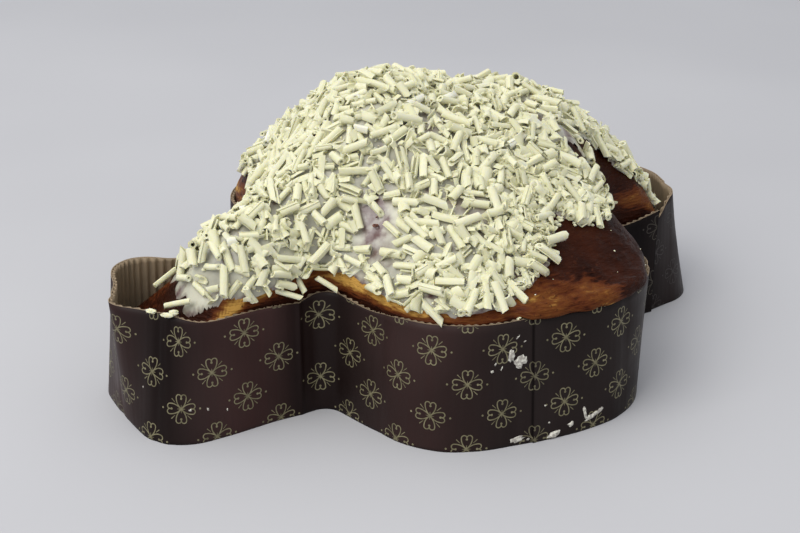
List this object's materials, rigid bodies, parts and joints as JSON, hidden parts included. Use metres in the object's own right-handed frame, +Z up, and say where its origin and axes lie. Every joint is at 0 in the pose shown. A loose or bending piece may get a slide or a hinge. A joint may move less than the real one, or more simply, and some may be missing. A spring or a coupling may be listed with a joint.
{
  "type": "iced dove cake in its paper mould",
  "caption": "Dove-shaped Easter bread in a dark fluted paper mould, domed, thinly iced and strewn with short rolls of white chocolate.",
  "frame": {"origin": "middle of the mould's bounding box in plan, on the plane it stands on", "axes": "+X from the tail to the head, +Y to the back wing, +Z up"},
  "size_m": [0.2991, 0.2246, 0.1297],
  "materials": {
    "paper": "dark brown coated paper, satin, printed in gold",
    "crust": "baked crust with a soft gloss",
    "icing": "sugar icing and white chocolate, satin"
  },
  "bodies": {
    "root": {"paper_mould": "paper", "cake": "crust", "icing": "icing"}
  },
  "joints": []
}
